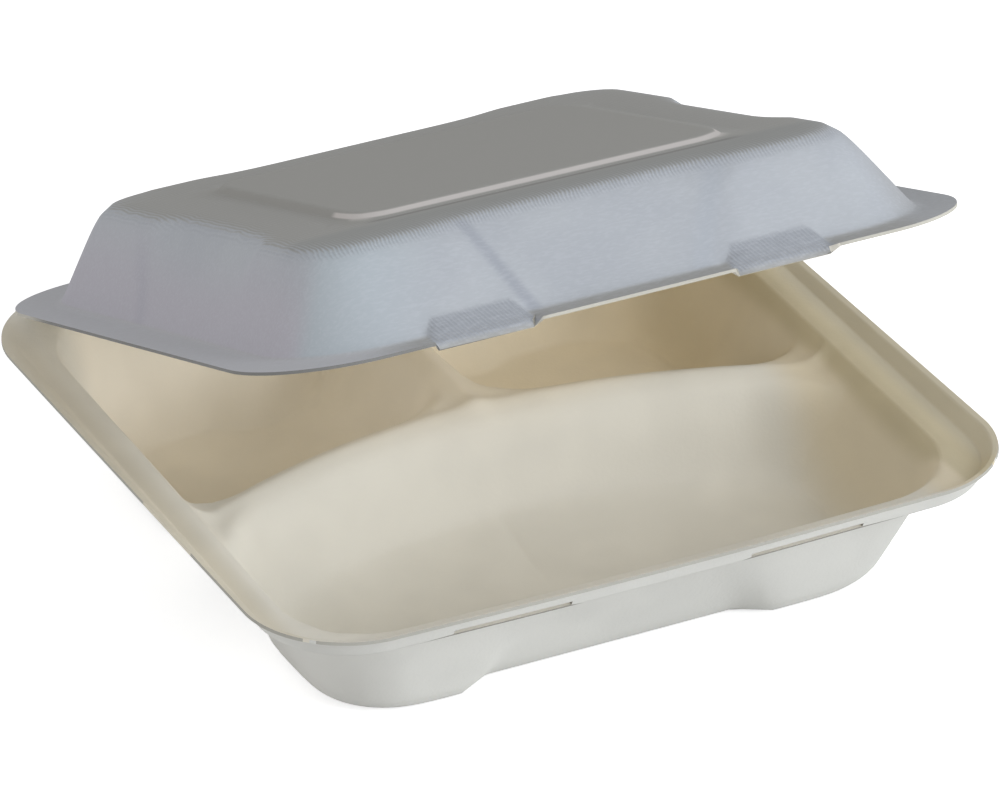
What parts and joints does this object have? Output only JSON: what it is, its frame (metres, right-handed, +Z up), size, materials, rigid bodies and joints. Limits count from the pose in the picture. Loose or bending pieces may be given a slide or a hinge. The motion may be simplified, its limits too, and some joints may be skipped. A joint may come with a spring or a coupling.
{
  "type": "take-away meal box",
  "caption": "Square moulded-fibre take-away box: a tray with three compartments and a domed lid that folds on the back edge and catches in slots at the front.",
  "frame": {"origin": "middle of the box's width and depth, on the surface its tray stands on", "axes": "+Z up; +X to the right along the fold; -Y towards the front edge with the catches, +Y towards the fold"},
  "size_m": [0.2284, 0.2228, 0.1332],
  "materials": {
    "fibre_tray": "matt pressed cane fibre, smooth inside",
    "fibre_lid": "matt pressed cane fibre with fine forming-screen texture, in cool shade"
  },
  "bodies": {
    "tray": {"tray": "fibre_tray"},
    "lid": {"lid": "fibre_lid"}
  },
  "joints": [
    {"name": "lid_fold", "type": "hinge", "parent": "tray", "child": "lid", "pos_m": [0, 0.11115, 0.04375], "axis": [-1, 0, 0], "range_deg": [-20.9, 160]}
  ]
}
